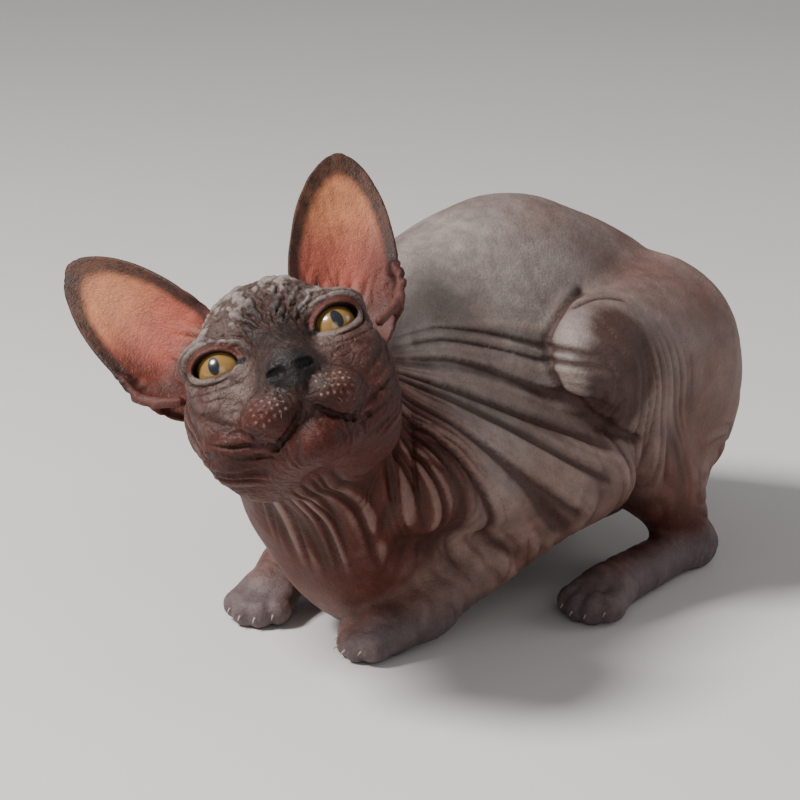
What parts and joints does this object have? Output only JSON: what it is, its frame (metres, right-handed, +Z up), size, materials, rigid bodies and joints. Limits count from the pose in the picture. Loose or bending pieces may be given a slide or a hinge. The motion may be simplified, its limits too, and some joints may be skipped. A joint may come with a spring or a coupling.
{
  "type": "sphynx cat",
  "caption": "Life-size still model of a hairless sphynx cat, crouched on its belly with the head raised and turned to its left.",
  "frame": {"origin": "on the floor, midway along and across the cat's bounding box", "axes": "+Z up, the cat faces -X, and its left side is towards -Y"},
  "size_m": [0.3621, 0.1877, 0.2056],
  "materials": {
    "skin_back": "matt, warm grey-taupe wrinkled skin",
    "skin_warm": "matt, reddish-brown wrinkled skin",
    "skin_mask": "matt, dark charcoal-brown face skin",
    "skin_ear": "matt, terracotta ear skin with a dark rim",
    "skin_paw": "matt, blue-grey paw skin",
    "eye_amber": "glossy amber eye with a dark pupil"
  },
  "bodies": {
    "root": {"head": "skin_mask", "neck": "skin_warm", "torso": "skin_back", "ear_left": "skin_ear", "eye_left": "eye_amber", "upper_foreleg_left": "skin_back", "forearm_left": "skin_warm", "forepaw_left": "skin_paw", "thigh_left": "skin_back", "hind_foot_left": "skin_paw", "hind_toes_left": "skin_paw", "ear_right": "skin_ear", "eye_right": "eye_amber", "upper_foreleg_right": "skin_back", "forearm_right": "skin_warm", "forepaw_right": "skin_paw", "thigh_right": "skin_back", "hind_foot_right": "skin_paw", "hind_toes_right": "skin_paw", "tail_base": "skin_warm", "tail_middle": "skin_warm", "tail_tip": "skin_warm"}
  },
  "joints": []
}
